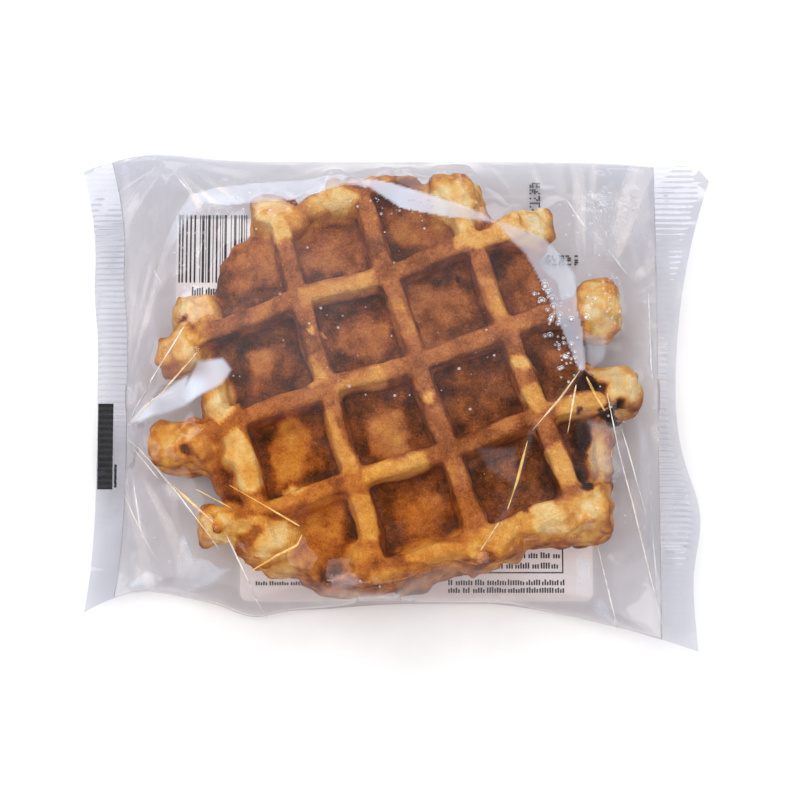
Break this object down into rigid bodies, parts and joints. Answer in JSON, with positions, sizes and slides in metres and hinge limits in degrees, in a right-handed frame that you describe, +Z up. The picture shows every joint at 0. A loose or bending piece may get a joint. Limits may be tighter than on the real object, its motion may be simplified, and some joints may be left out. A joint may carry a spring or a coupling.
{
  "type": "packed grid waffle",
  "caption": "Round thick grid waffle with browned ribs and pale dough lobes, sealed in a clear film pillow pack with crimped end seals and stickers underneath.",
  "frame": {"origin": "under the middle of the pack, in the plane it rests on", "axes": "+X along the pack from the seal with the black register mark to the wider seal, +Y from the front fold to the straight back fold, +Z up through the shown side"},
  "size_m": [0.1579, 0.1264, 0.026],
  "materials": {
    "film": "clear thin packing film with creases, over a browned waffle",
    "paper": "thin matt self-adhesive sticker"
  },
  "bodies": {
    "root": {"sealed_pack": "film", "info_sticker": "paper", "barcode_sticker": "paper"}
  },
  "joints": []
}
